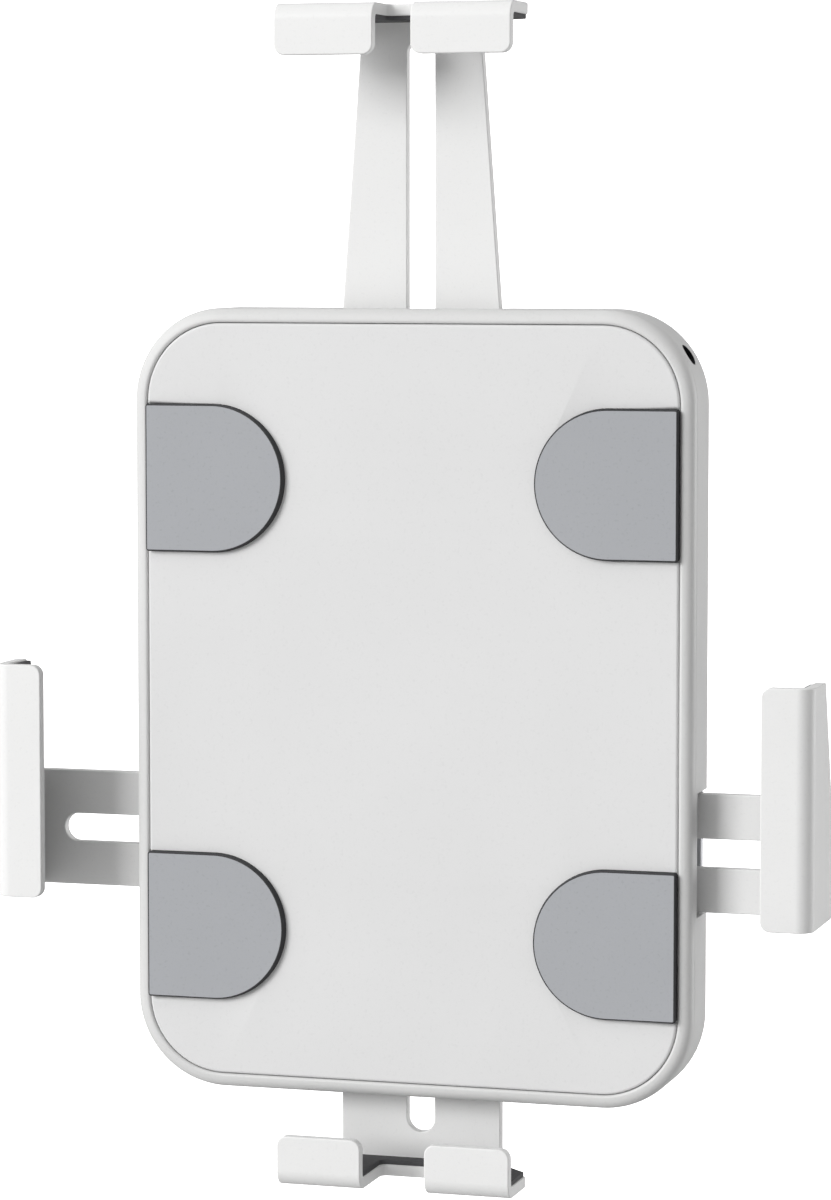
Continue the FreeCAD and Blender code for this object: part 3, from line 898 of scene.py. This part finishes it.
@dataclass
class Studio:
    """Camera, lights, pale floor and background.

    The target and the camera's distance are in millimetres, and the floor's and wall's sizes in metres.
    The sky's light grows along sky_slope from low_light to high_light and is strongest behind the
    mount. The camera sees a white sky.
    """

    target: tuple[float, float, float] = (1.544, -13.8, 23.028)
    distance: float = 914.6
    yaw: float = 16.614
    pitch: float = 4.878
    lens: float = 128.2
    sensor: float = 36.0
    floor_height: float = -0.42
    floor_half: float = 3.0
    floor_middle: float = -1.2
    sweep_radius: float = 0.8
    sweep_steps: int = 16
    wall_height: float = 3.0
    floor_tone: float = 0.5
    floor_glow: float = 1.6
    low_light: float = 0.02
    high_light: float = 0.8
    back_light: float = 0.9
    sky_slope: tuple[float, float, float] = (-0.55, -0.2, 0.81)
    sky_range: tuple[float, float] = (-0.15, 0.9)
    back_range: tuple[float, float] = (0.0, 0.35)
    lights: tuple[Softbox, ...] = (
        Softbox("key_from_upper_left", (-3.32, -4.6, 1.95), 2.8, 260.0),
        Softbox("side_fill_from_right", (1.9, 1.45, 0.0), 1.2, 22.0),
    )

    def add_camera(self) -> None:
        """Adds the camera at the photograph's place."""
        yaw, pitch = math.radians(self.yaw), math.radians(self.pitch)
        towards = Vector((math.sin(yaw) * math.cos(pitch), -math.cos(yaw) * math.cos(pitch), math.sin(pitch)))
        data = bpy.data.cameras.new("camera")
        data.lens = self.lens
        data.sensor_width = self.sensor
        data.clip_start = 0.05
        camera = bpy.data.objects.new("camera", data)
        camera.location = (Vector(self.target) + towards * self.distance) * MM
        camera.rotation_euler = (-towards).to_track_quat("-Z", "Y").to_euler()
        bpy.context.scene.collection.objects.link(camera)
        bpy.context.scene.camera = camera

    def add_floor(self) -> None:
        """Adds a pale floor that sweeps up behind the mount."""
        bm = bmesh.new()
        bmesh.ops.create_grid(bm, x_segments=1, y_segments=1, size=self.floor_half)
        bmesh.ops.translate(bm, verts=bm.verts[:], vec=(0, self.floor_middle, self.floor_height))
        rear = [edge for edge in bm.edges if all(vert.co.y > 0 for vert in edge.verts)]
        centre = (0, self.floor_middle + self.floor_half, self.floor_height + self.sweep_radius)
        spun = bmesh.ops.spin(bm, geom=rear, cent=centre, axis=(1, 0, 0), angle=math.pi / 2,
                              steps=self.sweep_steps, use_merge=False)
        last = [item for item in spun["geom_last"] if isinstance(item, bmesh.types.BMEdge)]
        wall = bmesh.ops.extrude_edge_only(bm, edges=last)["geom"]
        bmesh.ops.translate(bm, verts=[item for item in wall if isinstance(item, bmesh.types.BMVert)],
                            vec=(0, 0, self.wall_height))
        mesh = bpy.data.meshes.new("pale_floor")
        bm.to_mesh(mesh)
        bm.free()
        mesh.shade_smooth()
        mesh.materials.append(self.floor_material())
        floor = bpy.data.objects.new("pale_floor", mesh)
        bpy.context.scene.collection.objects.link(floor)

    def floor_material(self) -> bpy.types.Material:
        """Returns a pale matt floor that is as bright as a lit studio background."""
        material = bpy.data.materials.new("pale_floor")
        material.use_nodes = True
        tree = material.node_tree
        shader = tree.nodes["Principled BSDF"]
        shader.inputs["Base Color"].default_value = (self.floor_tone, self.floor_tone, self.floor_tone, 1.0)
        shader.inputs["Roughness"].default_value = 0.9
        shader.inputs["Emission Color"].default_value = (1.0, 1.0, 1.0, 1.0)
        rays = tree.nodes.new("ShaderNodeLightPath")
        glow = tree.nodes.new("ShaderNodeMath")
        glow.operation = "MULTIPLY"
        glow.inputs[1].default_value = self.floor_glow
        tree.links.new(rays.outputs["Is Camera Ray"], glow.inputs[0])
        tree.links.new(glow.outputs["Value"], shader.inputs["Emission Strength"])
        return material

    def sky_light(self, tree: bpy.types.NodeTree) -> bpy.types.NodeSocket:
        """Works out how strong the light from each direction is.

        Args:
            tree: The world's node tree.

        Returns:
            Socket with the strength.
        """
        direction = tree.nodes.new("ShaderNodeTexCoord")
        slope = tree.nodes.new("ShaderNodeVectorMath")
        slope.operation = "DOT_PRODUCT"
        slope.inputs[1].default_value = self.sky_slope
        tree.links.new(direction.outputs["Generated"], slope.inputs[0])
        rise = tree.nodes.new("ShaderNodeMapRange")
        rise.inputs["From Min"].default_value = self.sky_range[0]
        rise.inputs["From Max"].default_value = self.sky_range[1]
        rise.inputs["To Min"].default_value = self.low_light
        rise.inputs["To Max"].default_value = self.high_light
        tree.links.new(slope.outputs["Value"], rise.inputs["Value"])
        parts = tree.nodes.new("ShaderNodeSeparateXYZ")
        tree.links.new(direction.outputs["Generated"], parts.inputs["Vector"])
        behind = tree.nodes.new("ShaderNodeMapRange")
        behind.inputs["From Min"].default_value = self.back_range[0]
        behind.inputs["From Max"].default_value = self.back_range[1]
        behind.inputs["To Max"].default_value = self.back_light
        tree.links.new(rise.outputs["Result"], behind.inputs["To Min"])
        tree.links.new(parts.outputs["Y"], behind.inputs["Value"])
        return behind.outputs["Result"]

    def add_world(self) -> None:
        """Adds a faint light from all round, stronger from behind, as from a lit backdrop."""
        world = bpy.data.worlds.new("studio")
        world.use_nodes = True
        tree = world.node_tree
        background = tree.nodes["Background"]
        background.inputs["Color"].default_value = (1.0, 1.0, 1.0, 1.0)
        rays = tree.nodes.new("ShaderNodeLightPath")
        seen = tree.nodes.new("ShaderNodeMath")
        seen.operation = "MAXIMUM"
        tree.links.new(rays.outputs["Is Camera Ray"], seen.inputs[0])
        tree.links.new(self.sky_light(tree), seen.inputs[1])
        tree.links.new(seen.outputs["Value"], background.inputs["Strength"])
        bpy.context.scene.world = world

    def build(self) -> None:
        """Adds the whole studio and shows its colours as they are."""
        self.add_camera()
        self.add_floor()
        self.add_world()
        for softbox in self.lights:
            softbox.build(Vector(self.target) * MM)
        bpy.context.scene.view_settings.view_transform = "Standard"


# Assembly


def report(pieces: Iterable[bpy.types.Object]) -> None:
    """Logs each piece with its number of faces."""
    for piece in pieces:
        log.info("%s: %d faces", piece.name, len(piece.data.polygons))


def main() -> None:
    """Builds the mount and its studio."""
    logging.basicConfig(level=logging.INFO, format="%(name)s %(message)s")
    report(Casing().build())
    pads = (Pad("pad_top_left", side=-1, height=48.4), Pad("pad_top_right", side=1, height=48.4),
            Pad("pad_bottom_left", side=-1, height=-49.5), Pad("pad_bottom_right", side=1, height=-49.5))
    report(pad.build() for pad in pads)
    arms = (
        HookArm("top", reach=149.6, inner=40.0, width=36.0, left=-25.9, right=25.9, slot_end=142.6,
                turn=0.0, tip_width=26.4, taper_start=80.0, notch=8.3),
        HookArm("bottom", reach=103.4, inner=59.0, width=36.0, left=-25.9, right=25.9, slot_end=94.4,
                turn=180.0, notch=14.3, notch_depth=16.6),
        HookArm("left", reach=90.7, inner=26.5, width=25.6, left=-12.8, right=38.2, slot_end=82.6,
                turn=-90.0, lift=-30.4),
        HookArm("right", reach=90.7, inner=26.5, width=25.6, left=-38.2, right=12.8, slot_end=82.6,
                turn=90.0, lift=-30.4),
    )
    for arm in arms:
        report(arm.build())
    Studio().build()
    log.info("sizes written")


if __name__ == "__main__":
    main()
